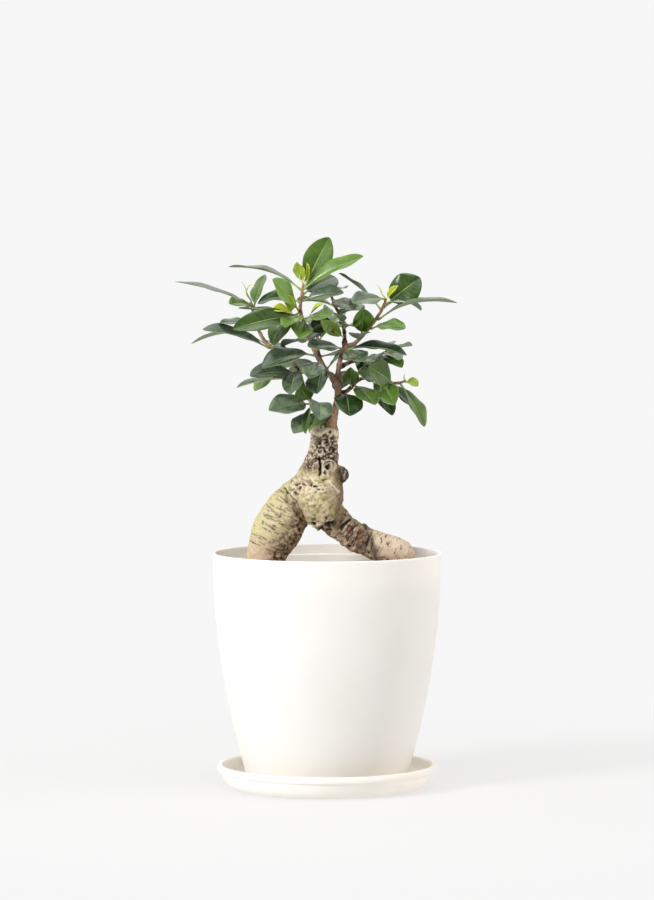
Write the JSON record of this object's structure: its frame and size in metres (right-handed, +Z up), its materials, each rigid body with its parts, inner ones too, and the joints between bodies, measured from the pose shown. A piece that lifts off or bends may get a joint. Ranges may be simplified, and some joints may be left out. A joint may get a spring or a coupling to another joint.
{
  "type": "potted bonsai tree",
  "caption": "Small fig bonsai with swollen straddling roots, a thin forked stem and leathery oval leaves, growing in a plain round pot that stands in its saucer.",
  "frame": {"origin": "centre of the saucer's flat underside, on the pot's axis", "axes": "+Z up along the pot's axis, +X to the side of the lower root knee, -Y towards the tree's front"},
  "size_m": [0.2036, 0.165, 0.3971],
  "materials": {
    "pot_plastic": "satin",
    "net_plastic": "matte",
    "pumice": "matte",
    "potting_mix": "matte",
    "root_bark": "satin",
    "twig_bark": "matte",
    "leaf": "satin"
  },
  "bodies": {
    "root": {"saucer": "pot_plastic", "pot": "pot_plastic", "drainage_net": "net_plastic", "pumice_layer": "pumice", "potting_soil": "potting_mix", "swollen_root": "root_bark", "scion_stem": "twig_bark", "branch_upper_right": "twig_bark", "branch_upper_middle": "twig_bark", "branch_upper_left": "twig_bark", "branch_lower_left": "twig_bark", "branch_lower_right": "twig_bark", "branch_middle_right": "twig_bark", "branch_back": "twig_bark", "leaf_upper_left_1": "leaf", "leaf_upper_left_2": "leaf", "leaf_upper_left_3": "leaf", "leaf_upper_left_4": "leaf", "leaf_upper_left_5": "leaf", "leaf_upper_left_6": "leaf", "leaf_upper_left_7": "leaf", "leaf_upper_left_8": "leaf", "leaf_upper_left_9": "leaf", "leaf_upper_left_10": "leaf", "leaf_upper_left_11": "leaf", "leaf_upper_left_12": "leaf", "leaf_lower_left_1": "leaf", "leaf_lower_left_2": "leaf", "leaf_lower_left_3": "leaf", "leaf_lower_left_4": "leaf", "leaf_lower_left_5": "leaf", "leaf_lower_left_6": "leaf", "leaf_lower_left_7": "leaf", "leaf_lower_left_8": "leaf", "leaf_lower_left_9": "leaf", "leaf_lower_left_10": "leaf", "leaf_lower_left_11": "leaf", "leaf_upper_right_1": "leaf", "leaf_upper_right_2": "leaf", "leaf_upper_right_3": "leaf", "leaf_upper_right_4": "leaf", "leaf_upper_middle_1": "leaf", "leaf_upper_middle_2": "leaf", "leaf_upper_middle_3": "leaf", "leaf_upper_middle_4": "leaf", "leaf_stem_1": "leaf", "leaf_stem_2": "leaf", "leaf_stem_3": "leaf", "leaf_lower_right_1": "leaf", "leaf_lower_right_2": "leaf", "leaf_lower_right_3": "leaf", "leaf_lower_right_4": "leaf", "leaf_lower_right_5": "leaf", "leaf_lower_right_6": "leaf", "leaf_middle_right_1": "leaf", "leaf_middle_right_2": "leaf", "leaf_back_1": "leaf", "leaf_back_2": "leaf", "leaf_back_3": "leaf", "leaf_back_4": "leaf"}
  },
  "joints": []
}
